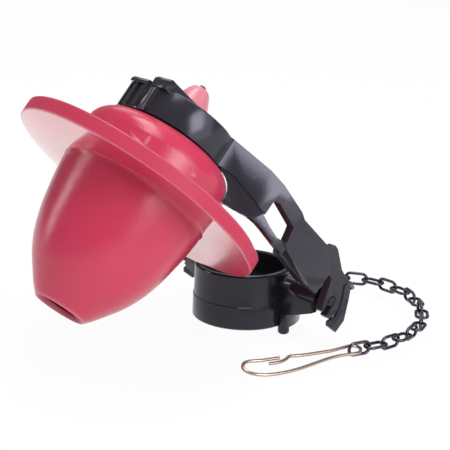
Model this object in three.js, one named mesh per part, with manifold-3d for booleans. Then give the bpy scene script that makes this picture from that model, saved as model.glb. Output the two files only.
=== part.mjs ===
// Toilet flapper for a cistern outlet: rubber stopper, hinged frame, overflow collar, chain, snap hook.
// Millimetres. Z is up, along the overflow tube. The origin is the centre of the collar's bottom face.
// The stopper lies towards -X, the hinge runs along Y and the side seen in the photo is -Y.
// The pieces are written with the stopper level on its seat, then swung open to the pose of the photo.

import * as THREE from 'three';
import { mergeVertices } from 'three/addons/utils/BufferGeometryUtils.js';
import Module from 'manifold-3d';

const wasm = await Module();
wasm.setup();

// Fit and moulding values
const GAP = 0.3;
const WALL = 2.2;
const TURN = Math.PI * 2;

// Overflow collar
const TUBE_R = 14.3;
const BORE_R = TUBE_R + 0.15;
const COLLAR_R = 16.9;
const COLLAR_H = 19.0;
const PARTING_Z = 8.0;
const PARTING_STEP = 0.25;

// Hinge
const HINGE_X = 6.9;
const HINGE_Z = 13.2;
const OPEN_DEG = 41.6;
const PEG_R = 1.65;
const BARREL_R = 4.3;
const PLATE_OUT = 35.9;
const PLATE_T = 3.0;
const PLATE_IN = PLATE_OUT - PLATE_T;
const EAR_END = PLATE_IN - 1.3;

// Rubber stopper, reaches measured from the hinge and heights from the hinge's own level
const AXIS_REACH = 67.4;
const DISC_R = 43.2;
const DISC_T = 5.0;
const DISC_BOTTOM = -9.9;
const DISC_TOP = DISC_BOTTOM + DISC_T;
const BULB_LENGTH = 43.5;
const RUBBER_WALL = 2.0;
const DOME_R = 25.8;
const DOME_TOP = 10.7;
const NECK_R = 5.3;
const KNOB_TIP = 32.8;

// Frame
const CAP_R = 19.4;
const CAP_BOTTOM = DOME_TOP + GAP;
const CAP_TOP = 21.0;
const CAP_PLATE = 2.4;
const KNOB_SEAT = CAP_TOP + GAP;

// Chain post on the frame, chain and snap hook
const POST = [-1.2, 7.6];
const POST_R = 0.9;
const POST_HEAD_R = 2.2;
const LINK_L = 9.2;
const LINK_W = 5.2;
const LINK_WIRE = 1.15;
const LINK_PITCH = 6.57;
const LINKS = 25;
const TABLE_Z = 2.75;
const HOOK_WIRE = 1.1;

// Materials
const rubber = new THREE.MeshStandardMaterial({ color: 0xc23a5c, roughness: 0.32, metalness: 0.0 });
const plastic = new THREE.MeshStandardMaterial({ color: 0x1d1c20, roughness: 0.35, metalness: 0.0 });
const collarPlastic = new THREE.MeshStandardMaterial({ color: 0x19181b, roughness: 0.42, metalness: 0.0 });
const chainMetal = new THREE.MeshStandardMaterial({ color: 0x2b2a31, roughness: 0.38, metalness: 0.75 });
const brass = new THREE.MeshStandardMaterial({ color: 0xc9ab8c, roughness: 0.28, metalness: 0.9 });

// Helpers that turn outlines into solids
function solid(geometry) {
  const bare = geometry.index ? geometry.toNonIndexed() : geometry.clone();
  bare.deleteAttribute('normal');
  bare.deleteAttribute('uv');
  const merged = mergeVertices(bare, 1e-4);
  const mesh = new wasm.Mesh({
    numProp: 3,
    vertProperties: new Float32Array(merged.attributes.position.array),
    triVerts: new Uint32Array(merged.index.array),
  });
  return new wasm.Manifold(mesh);
}

function shapeOf(points) {
  return new THREE.Shape(points.map(([a, b]) => new THREE.Vector2(a, b)));
}

// Outline in the side view, given as [x, z], extruded from y0 to y1
function side(points, y0, y1) {
  const geometry = new THREE.ExtrudeGeometry(shapeOf(points), { depth: y1 - y0, bevelEnabled: false });
  const turn = new THREE.Matrix4().makeBasis(
    new THREE.Vector3(1, 0, 0),
    new THREE.Vector3(0, 0, 1),
    new THREE.Vector3(0, -1, 0),
  );
  turn.setPosition(0, y1, 0);
  return solid(geometry.applyMatrix4(turn));
}

// Outline in the plan view, given as [x, y], extruded from z0 to z1
function plan(points, z0, z1) {
  const geometry = new THREE.ExtrudeGeometry(shapeOf(points), { depth: z1 - z0, bevelEnabled: false });
  return solid(geometry.translate(0, 0, z0));
}

// Outline in the end view, given as [y, z], extruded from x0 to x1
function end(points, x0, x1) {
  const geometry = new THREE.ExtrudeGeometry(shapeOf(points), { depth: x1 - x0, bevelEnabled: false });
  const turn = new THREE.Matrix4().makeBasis(
    new THREE.Vector3(0, 1, 0),
    new THREE.Vector3(0, 0, 1),
    new THREE.Vector3(1, 0, 0),
  );
  turn.setPosition(x0, 0, 0);
  return solid(geometry.applyMatrix4(turn));
}

// Profile of [radius, z] turned about Z, with its faces outward
function turned(profile, segments) {
  const points = profile.map(([r, z]) => new THREE.Vector2(Math.max(r, 0), z));
  const geometry = new THREE.LatheGeometry(points, segments).rotateX(Math.PI / 2);
  return outward(geometry);
}

function outward(geometry) {
  const bare = geometry.index ? geometry.toNonIndexed() : geometry;
  bare.deleteAttribute('normal');
  bare.deleteAttribute('uv');
  const p = bare.attributes.position;
  const a = new THREE.Vector3();
  const b = new THREE.Vector3();
  const c = new THREE.Vector3();
  let volume = 0;
  for (let i = 0; i < p.count; i += 3) {
    a.fromBufferAttribute(p, i);
    b.fromBufferAttribute(p, i + 1);
    c.fromBufferAttribute(p, i + 2);
    volume += a.dot(b.cross(c));
  }
  if (volume > 0) return withoutSlivers(bare);
  for (let i = 0; i < p.count; i += 3) {
    a.fromBufferAttribute(p, i + 1);
    b.fromBufferAttribute(p, i + 2);
    p.setXYZ(i + 1, b.x, b.y, b.z);
    p.setXYZ(i + 2, a.x, a.y, a.z);
  }
  return withoutSlivers(bare);
}

// Triangles that close to nothing on the turning axis are left out
function withoutSlivers(geometry) {
  const merged = mergeVertices(geometry, 1e-4);
  const kept = [];
  const index = merged.index.array;
  for (let i = 0; i < index.length; i += 3) {
    const [a, b, c] = [index[i], index[i + 1], index[i + 2]];
    if (a !== b && b !== c && a !== c) kept.push(a, b, c);
  }
  merged.setIndex(kept);
  return merged;
}

function cylinderZ(x, y, r, z0, z1, segments) {
  const geometry = new THREE.CylinderGeometry(r, r, z1 - z0, segments).rotateX(Math.PI / 2);
  return solid(geometry.translate(x, y, (z0 + z1) / 2));
}

function cylinderY(x, z, r, y0, y1, segments) {
  const geometry = new THREE.CylinderGeometry(r, r, y1 - y0, segments);
  return solid(geometry.translate(x, (y0 + y1) / 2, z));
}

function meshOf(name, shape, material, pose) {
  let geometry = shape;
  if (shape instanceof wasm.Manifold) {
    const raw = shape.getMesh();
    const positions = new Float32Array(raw.numVert * 3);
    for (let i = 0; i < raw.numVert; i += 1) {
      positions[i * 3] = raw.vertProperties[i * raw.numProp];
      positions[i * 3 + 1] = raw.vertProperties[i * raw.numProp + 1];
      positions[i * 3 + 2] = raw.vertProperties[i * raw.numProp + 2];
    }
    geometry = new THREE.BufferGeometry();
    geometry.setAttribute('position', new THREE.BufferAttribute(positions, 3));
    geometry.setIndex(new THREE.BufferAttribute(new Uint32Array(raw.triVerts), 1));
  }
  if (pose) geometry = geometry.clone().applyMatrix4(pose);
  geometry.computeVertexNormals();
  const mesh = new THREE.Mesh(geometry, material);
  mesh.name = name;
  return mesh;
}

// The swing that takes a piece from the level seat to the pose of the photo
const swing = new THREE.Matrix4().makeRotationY(THREE.MathUtils.degToRad(OPEN_DEG));
swing.setPosition(HINGE_X, 0, HINGE_Z);

// Rubber stopper: hollow bulb, sealing disc, dome, neck and knob turned in one piece
const bulbOutside = [
  [9.0, 43.5], [11.5, 40.4], [14.3, 36.6], [16.7, 33.2], [18.7, 29.7], [20.3, 26.2], [21.6, 22.4],
  [22.8, 18.0], [23.8, 13.0], [24.7, 7.8], [25.4, 3.0], [25.9, 0.9], [26.8, 0.0],
];
const bulbInside = [
  [23.6, 0.0], [23.0, 6.0], [21.8, 13.0], [20.6, 18.5], [18.8, 24.5], [16.4, 30.0], [13.1, 35.2],
  [9.6, 39.8], [7.2, BULB_LENGTH - 0.7],
];
const stopperProfile = [
  [0, DOME_TOP - 2.6], [14.5, DOME_TOP - 2.8], [19.6, DOME_TOP - 4.0], [22.6, DOME_TOP - 7.0],
  [DOME_R - RUBBER_WALL, DOME_TOP - 11.5],
  ...bulbInside.map(([r, d]) => [r, DISC_BOTTOM - d]),
  [7.5, DISC_BOTTOM - BULB_LENGTH],
  ...bulbOutside.map(([r, d]) => [r, DISC_BOTTOM - d]),
  [DISC_R - 1.0, DISC_BOTTOM], [DISC_R - 0.3, DISC_BOTTOM + 0.35], [DISC_R, DISC_BOTTOM + 1.1],
  [DISC_R, DISC_TOP - 1.3], [DISC_R - 0.35, DISC_TOP - 0.45], [DISC_R - 1.2, DISC_TOP],
  [DOME_R + 1.3, DISC_TOP], [DOME_R + 0.35, DISC_TOP + 0.45], [DOME_R, DISC_TOP + 1.5],
  [DOME_R, DOME_TOP - 7.4], [DOME_R - 0.5, DOME_TOP - 5.2], [DOME_R - 1.6, DOME_TOP - 3.3],
  [DOME_R - 3.3, DOME_TOP - 1.7], [DOME_R - 5.4, DOME_TOP - 0.6], [DOME_R - 7.8, DOME_TOP - 0.1],
  [NECK_R + 2.0, DOME_TOP], [NECK_R, DOME_TOP + 1.2],
  [NECK_R, KNOB_SEAT], [NECK_R + 1.2, KNOB_SEAT], [NECK_R + 1.5, KNOB_SEAT + 0.6],
  [6.5, 24.4], [5.9, 26.4], [5.1, 28.3], [4.0, 30.2], [2.9, 31.4], [1.6, 32.0], [0.9, 32.2],
  [0.8, KNOB_TIP], [0, KNOB_TIP],
];
const stopper = turned(stopperProfile, 44).translate(-AXIS_REACH, 0, 0);

// Frame: a round cap over the knob's neck, its front ribs and rail, and two arms to the hinge plates
const capProfile = [
  [CAP_R - WALL, CAP_BOTTOM], [CAP_R, CAP_BOTTOM], [CAP_R, CAP_TOP - 0.6], [CAP_R - 0.6, CAP_TOP],
  [NECK_R + GAP, CAP_TOP], [NECK_R + GAP, CAP_TOP - CAP_PLATE], [CAP_R - WALL, CAP_TOP - CAP_PLATE],
  [CAP_R - WALL, CAP_BOTTOM],
];
let frame = solid(turned(capProfile, 56)).translate([-AXIS_REACH, 0, 0]);

// Upright grip ribs on the front of the cap
for (const deg of [-46, -31, -16, -1, 14]) {
  const along = THREE.MathUtils.degToRad(deg);
  const rib = solid(new THREE.BoxGeometry(2.6, 1.5, CAP_TOP - CAP_BOTTOM - 1.2));
  const out = CAP_R - 0.4;
  frame = frame.add(
    rib
      .rotate([0, 0, deg])
      .translate([-AXIS_REACH - out * Math.cos(along), -out * Math.sin(along), (CAP_TOP + CAP_BOTTOM) / 2]),
  );
}

// Raised boss at the front and the rail that runs back from it beside the knob
const RAIL_TOP = 23.5;
const RAIL_OUT = 8.4;
const RAIL_T = 1.3;
const BOSS_FRONT = -AXIS_REACH - CAP_R - 0.6;
const bossSide = (top, y0, y1) => side([[BOSS_FRONT, CAP_TOP - 1.4], [BOSS_FRONT, top - 1.0],
  [BOSS_FRONT + 0.9, top], [BOSS_FRONT + 4.6, top], [BOSS_FRONT + 5.4, CAP_TOP - 1.4]], y0, y1);
const boss = bossSide(RAIL_TOP, -RAIL_OUT, -1.4);
const lowBoss = bossSide(CAP_TOP + 0.6, 0.8, RAIL_OUT);
const rail = side([[BOSS_FRONT + 4.0, CAP_TOP - 1.4], [BOSS_FRONT + 4.0, RAIL_TOP],
  [-AXIS_REACH - 3.6, RAIL_TOP + 0.2], [-AXIS_REACH + 5.9, RAIL_TOP - 0.7],
  [-AXIS_REACH + 9.9, CAP_TOP - 1.4]], -RAIL_OUT, -RAIL_OUT + RAIL_T);
frame = frame.add(boss).add(lowBoss).add(rail);

// One arm for the -Y side; the other is its mirror image. It runs into the cap, wherever the cap is.
const ARM_END = AXIS_REACH - 4.2;
const ARM_TURN = AXIS_REACH - 7.0;
const ARM_INNER_TURN = AXIS_REACH - 8.5;
const BEYOND = PLATE_OUT + 4.1;
const WELL_INSIDE = PLATE_OUT - 15.9;
const BELOW_ALL = DISC_BOTTOM - 2.1;
const ABOVE_ALL = CAP_TOP + 5.0;
const armOutside = [[ARM_END, 18.3], [ARM_TURN, 18.5], [48.7, 28.2], [43.2, 31.4], [34.4, PLATE_OUT]];
const armInside = [[34.0, PLATE_IN], [42.0, 28.7], [47.0, 25.7], [ARM_INNER_TURN, 15.9], [ARM_END, 15.4]];
const strip = [...armOutside, [-9.6, PLATE_OUT], [-9.6, PLATE_IN], ...armInside];
const mapPlan = (points) => points.map(([reach, across]) => [-reach, -across]);
const mapSide = (points) => points.map(([reach, height]) => [-reach, height]);

const upperOutline = [
  [ARM_END, CAP_TOP - 0.4], [ARM_TURN + 0.2, CAP_TOP], [48.7, 19.2], [43.2, 17.8], [31.7, 13.0], [14.5, 12.7],
  [12.7, 14.8], [10.6, 14.4], [3.8, 10.5], [-2.6, 9.1], [-4.7, 7.1], [-6.5, 4.1], [-7.6, 1.0],
  [-5.4, -1.4], [-3.4, -4.9], [0.8, -4.9], [6.2, -3.7], [8.7, -2.0], [15.2, -1.5], [33.0, 1.9],
  [36.6, 4.2], [43.9, 6.3], [55.7, 10.9], [ARM_END, CAP_BOTTOM + 0.2],
];
const lowerOutline = [
  [59.4, 12.5], [59.0, 9.2], [58.0, 6.5], [57.2, 4.0], [56.6, 1.7], [47.6, 2.3], [45.6, 2.6],
  [43.2, 2.4], [40.6, 1.7], [37.9, 0.8], [34.5, -0.3], [32.0, -0.6], [31.0, 4.0], [43.9, 7.2],
  [55.7, 12.0],
];
const windowOutline = [[43.6, 6.1], [43.4, 11.6], [41.4, 12.0], [34.3, 8.4], [33.2, 2.9], [36.6, 2.6], [40.2, 4.1]];
const flangeOutline = [[33.6, -0.4], [26.0, -1.0], [13.0, -2.0], [13.0, -0.2], [26.0, 1.0], [33.6, 1.2]];
const recess = 0.6;
const shrink = ([reach, across]) => [reach, across - recess];
const stripRecessed = [...armOutside.map(shrink), [-9.6, PLATE_OUT - recess], [-9.6, PLATE_IN], ...armInside];
const flangeStrip = [
  [33.6, PLATE_IN + 0.8], [12.0, PLATE_IN + 0.8], [12.0, PLATE_IN - 2.4], [31.0, PLATE_IN - 2.4],
  [33.6, PLATE_IN - 0.4],
];

const inPlan = (points) => plan(mapPlan(points), BELOW_ALL, ABOVE_ALL);
const inSide = (points) => side(mapSide(points), -BEYOND, 0);
let arm = inPlan(strip).intersect(inSide(upperOutline));
const armLower = inPlan(stripRecessed).intersect(inSide(lowerOutline));
const flange = inPlan(flangeStrip).intersect(inSide(flangeOutline));
arm = arm.add(armLower).subtract(side(mapSide(windowOutline), -BEYOND, -WELL_INSIDE)).add(flange);

// Hook leg outside the hinge plate, the notch in front of the peg, the peg hole and its snap slot
const legOutline = [
  [-1.0, 7.2], [-2.6, 9.1], [-4.7, 7.1], [-6.5, 4.1], [-9.6, -1.8], [-9.0, -6.8], [-4.1, -7.2],
  [-3.0, -6.0], [-5.2, -2.8], [-4.7, 0.2], [-3.2, 3.8],
];
const LEG_T = 0.6;
arm = arm.add(side(mapSide(legOutline), -PLATE_OUT - LEG_T, -PLATE_OUT + 0.5));
const notchOutline = [[8.9, -2.1], [8.0, 6.0], [6.0, 5.6], [2.2, -4.4], [2.2, -7.0], [9.4, -7.0]];
const slotOutline = [[1.2, 0], [1.2, -7.6], [-1.9, -7.6], [-1.25, 0]];
const PLATE_BACK = PLATE_IN - 2.9;
arm = arm.subtract(side(mapSide(notchOutline), -BEYOND, -PLATE_BACK));
arm = arm.subtract(cylinderY(0, 0, PEG_R + GAP, -BEYOND, -PLATE_BACK, 24));
arm = arm.subtract(side(mapSide(slotOutline), -BEYOND, -PLATE_BACK));
frame = frame.add(arm).add(arm.mirror([0, 1, 0]));

// Room for the rubber dome, so that the frame clears it all round
const ROOM_R = DOME_R + GAP + 0.1;
const ROOM_TOP = DOME_TOP + GAP;
const domeRoom = turned([
  [0, DISC_TOP - 6], [ROOM_R, DISC_TOP - 6], [ROOM_R, ROOM_TOP - 7.4], [ROOM_R - 0.5, ROOM_TOP - 5.2],
  [ROOM_R - 1.6, ROOM_TOP - 3.3], [ROOM_R - 3.3, ROOM_TOP - 1.7], [ROOM_R - 5.4, ROOM_TOP - 0.6],
  [ROOM_R - 7.8, ROOM_TOP - 0.1], [ROOM_R - 12, ROOM_TOP], [0, ROOM_TOP],
], 44);
frame = frame.subtract(solid(domeRoom).translate([-AXIS_REACH, 0, 0]));

// Headed post inside the -Y plate that carries the first chain link
const POST_LENGTH = 4.4;
const post = cylinderY(-POST[0], POST[1], POST_R, -PLATE_IN - 0.5, -PLATE_IN + POST_LENGTH, 20);
const postHead = cylinderY(-POST[0], POST[1], POST_HEAD_R, -PLATE_IN + POST_LENGTH - 0.1, -PLATE_IN + POST_LENGTH + 1.3, 20);
frame = frame.add(post).add(postHead);

// Overflow collar: ring, two ears with their barrels and pegs, and a rounded foot under each ear
const collarProfile = [
  [BORE_R, 0.3], [BORE_R + 0.4, 0], [COLLAR_R - 0.5, 0], [COLLAR_R, 0.5], [COLLAR_R, PARTING_Z],
  [COLLAR_R - PARTING_STEP, PARTING_Z + 0.15], [COLLAR_R - PARTING_STEP, COLLAR_H - 0.6],
  [COLLAR_R - PARTING_STEP - 0.5, COLLAR_H], [BORE_R + 0.4, COLLAR_H], [BORE_R, COLLAR_H - 0.4],
  [BORE_R, 0.3],
];
let collar = solid(turned(collarProfile, 72));
const webOutline = [
  [-8, 4.4], [-18.6, 4.8], [-24.0, 6.2], [-EAR_END, HINGE_Z - BARREL_R],
  [-EAR_END, HINGE_Z - 0.8], [-24.0, HINGE_Z - 0.4], [-19.5, HINGE_Z + 1.2], [-8, 17.6],
];
const WEB_X = 1.6;
const WEB_T = 2.8;
let ear = end(webOutline, WEB_X, WEB_X + WEB_T);
ear = ear.add(cylinderY(HINGE_X, HINGE_Z, BARREL_R, -EAR_END, -8, 32));
ear = ear.add(cylinderY(HINGE_X, HINGE_Z, PEG_R, -PLATE_OUT - 0.1, -EAR_END + 0.5, 24));

// The ear grows out of a thickened, rounded stretch of the collar's wall
const ROOT_R = 20.5;
const rootArc = [-85, -79, -73, -67, -61, -55, -49, -43].map((deg) => {
  const angle = THREE.MathUtils.degToRad(deg);
  return [ROOT_R * Math.cos(angle), ROOT_R * Math.sin(angle)];
});
ear = ear.add(plan([[WEB_X, -8], ...rootArc, [9.6, -8]], 0.4, 16.0));
const FOOT_R = 2.0;
const FOOT_DROP = 2.4;
const FOOT_X = WEB_X + 1.9;
const FOOT_Y = -17.6;
ear = ear.add(cylinderZ(FOOT_X, FOOT_Y, FOOT_R, -FOOT_DROP + 0.5, 5.0, 20));
ear = ear.add(cylinderZ(FOOT_X, FOOT_Y, FOOT_R - 0.5, -FOOT_DROP, 5.0, 20));
collar = collar.add(ear).add(ear.mirror([0, 1, 0]));
collar = collar.subtract(cylinderZ(0, 0, BORE_R, 0.3, COLLAR_H - 0.4, 72));
collar = collar.subtract(cylinderZ(0, 0, BORE_R, -4, 0.4, 72));

// Chain: the centre line leaves the post, drops to the level of the collar's base and curls to the front
const postWorld = new THREE.Vector3(-POST[0], -PLATE_IN + 2.1, POST[1]).applyMatrix4(swing);
const chainGuide = [
  [postWorld.x, postWorld.y, postWorld.z], [20.6, -30.2, 15.8], [24.2, -26.8, 11.6], [27.6, -20.6, 7.8],
  [30.6, -13.4, 4.6], [33.4, -6.4, 2.9], [37.4, -0.4, TABLE_Z], [42.6, 3.3, TABLE_Z], [48.4, 4.0, TABLE_Z],
  [54.0, 1.8, TABLE_Z], [58.0, -2.6, TABLE_Z], [59.8, -8.6, TABLE_Z], [60.3, -14.8, TABLE_Z],
  [59.8, -21.0, TABLE_Z], [57.8, -27.4, TABLE_Z], [54.2, -33.4, TABLE_Z], [49.6, -39.2, TABLE_Z],
  [44.4, -44.2, TABLE_Z], [38.6, -48.6, TABLE_Z], [32.0, -51.8, TABLE_Z], [25.0, -53.8, TABLE_Z],
  [18.0, -54.8, TABLE_Z], [11.4, -54.5, TABLE_Z], [5.2, -53.4, TABLE_Z], [-0.8, -52.0, TABLE_Z],
  [-8.2, -49.8, TABLE_Z],
];
const guide = new THREE.CatmullRomCurve3(chainGuide.map((p) => new THREE.Vector3(...p)), false, 'centripetal');
const fine = guide.getSpacedPoints(1600);

// Joints of the chain: points one pitch apart along the guide, measured straight
function marksAlong(first, pitch, count) {
  const marks = [fine[0].clone()];
  let want = first;
  for (let i = 1; i < fine.length && marks.length <= count; i += 1) {
    if (fine[i].distanceTo(marks[marks.length - 1]) >= want) {
      marks.push(fine[i].clone());
      want = pitch;
    }
  }
  return marks;
}
const FIRST_REACH = LINK_PITCH / 2 + (LINK_L / 2 - LINK_WIRE) - POST_R - 0.2;
const marks = marksAlong(FIRST_REACH, LINK_PITCH, LINKS);

// One oval link of round wire
class OvalPath extends THREE.Curve {
  getPoint(t, target = new THREE.Vector3()) {
    const r = (LINK_W - LINK_WIRE) / 2;
    const half = (LINK_L - LINK_WIRE) / 2 - r;
    const round = Math.PI * r;
    const total = 2 * round + 4 * half;
    let s = (t % 1) * total;
    if (s < 2 * half) return target.set(-half + s, -r, 0);
    s -= 2 * half;
    if (s < round) return target.set(half + r * Math.sin(s / r), -r * Math.cos(s / r), 0);
    s -= round;
    if (s < 2 * half) return target.set(half - s, r, 0);
    s -= 2 * half;
    return target.set(-half - r * Math.sin(s / r), r * Math.cos(s / r), 0);
  }
}

function wireLoop(path, wire, steps, sides) {
  const corners = [];
  for (let k = 0; k < sides; k += 1) {
    const a = (TURN * (k + 0.5)) / sides;
    corners.push(new THREE.Vector3(0, Math.cos(a) * wire / 2, Math.sin(a) * wire / 2));
  }
  const positions = [];
  for (let i = 0; i < steps; i += 1) {
    const at = path.getPoint(i / steps);
    const ahead = path.getPoint(((i + 0.02) / steps) % 1);
    const behind = path.getPoint((i - 0.02 + steps) / steps % 1);
    const along = ahead.sub(behind).normalize();
    const across = new THREE.Vector3(-along.y, along.x, 0);
    for (const c of corners) {
      positions.push(at.x + across.x * c.y, at.y + across.y * c.y, c.z);
    }
  }
  const index = [];
  for (let i = 0; i < steps; i += 1) {
    const j = (i + 1) % steps;
    for (let k = 0; k < sides; k += 1) {
      const m = (k + 1) % sides;
      index.push(i * sides + k, j * sides + k, j * sides + m);
      index.push(i * sides + k, j * sides + m, i * sides + m);
    }
  }
  const geometry = new THREE.BufferGeometry();
  geometry.setAttribute('position', new THREE.BufferAttribute(new Float32Array(positions), 3));
  geometry.setIndex(index);
  return outward(geometry);
}

const linkShape = wireLoop(new OvalPath(), LINK_WIRE, 20, 6);
const up = new THREE.Vector3(0, 0, 1);
const linkMeshes = [];
for (let i = 0; i < LINKS; i += 1) {
  const from = i === 0 ? marks[0].clone() : marks[i];
  const to = marks[i + 1];
  const along = to.clone().sub(from).normalize();
  const centre = i === 0
    ? from.clone().addScaledVector(along, FIRST_REACH - LINK_PITCH / 2)
    : from.clone().add(to).multiplyScalar(0.5);
  const level = new THREE.Vector3().crossVectors(up, along).normalize();
  const raised = new THREE.Vector3().crossVectors(along, level);
  const across = i % 2 === 0 ? raised : level;
  const normal = new THREE.Vector3().crossVectors(along, across);
  const pose = new THREE.Matrix4().makeBasis(along, across, normal).setPosition(centre);
  const name = `chain_link_${String(i + 1).padStart(2, '0')}`;
  linkMeshes.push(meshOf(name, linkShape.clone(), chainMetal, pose));
}

// Snap hook: one brass wire with an eye, a long lower leg, a round nose and a latched upper leg
const hookPath = [
  [31.6, -1.1], [29.4, -1.1], [27.2, -0.9], [25.2, -0.2], [23.6, 0.7], [21.5, 0.7], [18.4, 0.5],
  [11.6, 0.6], [8.0, 0.6], [4.8, 0.8], [2.4, 1.2], [0.2, 1.5], [-1.7, 1.1], [-2.6, 0.0], [-1.7, -1.3],
  [0.2, -1.7], [2.4, -1.6], [6.1, -1.8], [9.8, -2.3], [13.4, -3.0], [17.1, -3.8], [20.8, -4.6],
  [24.3, -5.2], [27.8, -5.6], [31.1, -5.7], [34.3, -5.6], [36.5, -5.2], [38.6, -4.5], [40.3, -3.4],
  [41.1, -2.1], [41.0, -0.8], [39.9, 0.5], [38.1, 1.0], [36.0, 0.9], [33.8, 0.7], [30.6, 0.7], [27.1, 0.7],
];
const last = marks[LINKS];
const nose = new THREE.Vector3(-38.7, -41.7, 3.2);
const hookAlong = nose.clone().sub(last).normalize();
const hookLevel = new THREE.Vector3().crossVectors(up, hookAlong).normalize();
const hookRaised = new THREE.Vector3().crossVectors(hookAlong, hookLevel);
const HOOK_TILT = THREE.MathUtils.degToRad(25);
const hookAcross = hookLevel.clone().multiplyScalar(-Math.cos(HOOK_TILT)).addScaledVector(hookRaised, Math.sin(HOOK_TILT));
const hookPoints = hookPath.map(([s, t]) => last.clone().addScaledVector(hookAlong, s).addScaledVector(hookAcross, t));
const hookCurve = new THREE.CatmullRomCurve3(hookPoints, false, 'centripetal');
const hookSection = new THREE.Shape();
hookSection.absarc(0, 0, HOOK_WIRE / 2, 0, TURN, false);
const hookShape = new THREE.ExtrudeGeometry(hookSection, {
  steps: 84, curveSegments: 4, extrudePath: hookCurve, bevelEnabled: false,
});

const part = new THREE.Group();
part.name = 'toilet_flapper';
part.add(meshOf('overflow_collar', collar, collarPlastic));
part.add(meshOf('flapper_frame', frame, plastic, swing));
part.add(meshOf('flapper_stopper', stopper, rubber, swing));
for (const mesh of linkMeshes) part.add(mesh);
part.add(meshOf('snap_hook', outward(hookShape), brass));

export default part;
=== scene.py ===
# %% [markdown]
# # A toilet flapper
# The part is a red rubber stopper on a black forked frame, hinged on a collar for the overflow tube.
# A chain of dark links leaves the frame and ends in a snap hook bent from pale brass wire.
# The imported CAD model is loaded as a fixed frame, and each piece below is made in that same frame, in metres.

import math

import bmesh
import bpy
import numpy as np
from mathutils import Matrix, Vector


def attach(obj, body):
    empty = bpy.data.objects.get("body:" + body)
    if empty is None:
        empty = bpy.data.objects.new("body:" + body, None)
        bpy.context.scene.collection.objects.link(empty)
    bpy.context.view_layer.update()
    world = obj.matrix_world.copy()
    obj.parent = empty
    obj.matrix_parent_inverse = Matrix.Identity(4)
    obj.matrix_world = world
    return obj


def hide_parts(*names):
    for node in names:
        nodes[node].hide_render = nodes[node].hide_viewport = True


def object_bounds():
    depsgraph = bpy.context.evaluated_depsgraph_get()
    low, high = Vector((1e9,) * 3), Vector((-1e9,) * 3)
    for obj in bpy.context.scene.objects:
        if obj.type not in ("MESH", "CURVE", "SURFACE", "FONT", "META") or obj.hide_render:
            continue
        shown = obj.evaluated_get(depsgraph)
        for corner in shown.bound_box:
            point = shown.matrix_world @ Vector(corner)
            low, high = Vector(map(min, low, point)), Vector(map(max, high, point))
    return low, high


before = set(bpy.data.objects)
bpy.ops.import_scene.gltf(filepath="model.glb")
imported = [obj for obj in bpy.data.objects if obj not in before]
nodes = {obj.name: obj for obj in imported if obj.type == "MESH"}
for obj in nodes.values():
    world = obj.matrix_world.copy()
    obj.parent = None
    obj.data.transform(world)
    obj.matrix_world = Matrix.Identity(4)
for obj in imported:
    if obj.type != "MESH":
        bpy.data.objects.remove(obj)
cad_low, cad_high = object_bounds()
MM = 0.001


def in_mm(*places):
    """The coordinates of those places, rounded to a tenth of a millimetre for a print."""
    return [round(value / MM, 1) for place in places for value in place]


print("CAD box in mm:", in_mm(cad_low, cad_high))

# %% [markdown]
# ## Camera
# The photograph was taken with a long lens from the front left, a little above the part.
# A camera can be aimed by a constraint or by a matrix. Here its place and its three directions were solved
# from the outlines of the collar and the disc, so a matrix of right, up and back gives the view directly.

# %% Camera
CAMERA_AT = Vector((-0.36294, -0.37456, 0.18174))
CAMERA_RIGHT = Vector((0.73474, -0.67707, 0.04154))
CAMERA_UP = Vector((0.15779, 0.23015, 0.96028))
CAMERA_BACK = CAMERA_RIGHT.cross(CAMERA_UP).normalized()
FOCAL_PX = 1586.13
PHOTO_PX = 450
SENSOR_MM = 36.0


def linked_object(name, data):
    """A new object of that data, linked into the scene."""
    made = bpy.data.objects.new(name, data)
    bpy.context.scene.collection.objects.link(made)
    return made


camera_data = bpy.data.cameras.new("camera")
camera_data.sensor_width = SENSOR_MM
camera_data.lens = FOCAL_PX / PHOTO_PX * SENSOR_MM
camera_data.clip_start = 0.02
camera_data.clip_end = 20.0
camera = linked_object("camera", camera_data)
turn = Matrix((CAMERA_RIGHT, CAMERA_UP, CAMERA_BACK)).transposed()
camera.matrix_world = Matrix.Translation(CAMERA_AT) @ turn.to_4x4()
bpy.context.scene.camera = camera
print("lens", round(camera_data.lens, 1), "mm")

# %% [markdown]
# ## Helpers for node trees
# Every material, the world and each Geometry Nodes tree below is built from nodes and links.
# Four small helpers do that: a node with its settings, a row of links, a sum, and a mix of two colours.
# They keep each tree short enough to read as a list of what flows where.

# %% Helpers for node trees
def add_node(tree, kind, **settings):
    """A node of that kind; a setting named in_NAME goes on the input socket of that name."""
    node = tree.nodes.new(kind)
    for key, value in settings.items():
        if key.startswith("in_"):
            node.inputs[key[3:].replace("_", " ")].default_value = value
        else:
            setattr(node, key, value)
    return node


def join(tree, *pairs):
    for source, target in pairs:
        tree.links.new(source, target)


def math_node(tree, operation, *values):
    """A Math node fed by numbers and links; returns its output."""
    node = add_node(tree, "ShaderNodeMath", operation=operation)
    for socket, value in zip(node.inputs, values):
        if isinstance(value, (int, float)):
            socket.default_value = value
        else:
            tree.links.new(value, socket)
    return node.outputs[0]


def color_mix(tree, factor, a, b):
    """A mix of two colours, each three numbers or a link; returns its output."""
    node = add_node(tree, "ShaderNodeMix", data_type="RGBA")
    tree.links.new(factor, node.inputs["Factor"])
    for label, value in (("A", a), ("B", b)):
        if isinstance(value, tuple):
            node.inputs[label].default_value = (*value, 1)
        else:
            tree.links.new(value, node.inputs[label])
    return node.outputs["Result"]


# %% [markdown]
# ## World
# The photograph has light from every side, as in a light tent, in front of pure white.
# The world could be one plain colour, but a white that the camera sees would then light the part too much.
# So it lights the part at a plain level, a little darker from below, and is white only for the camera's own
# rays and for rays through clear things.

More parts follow.
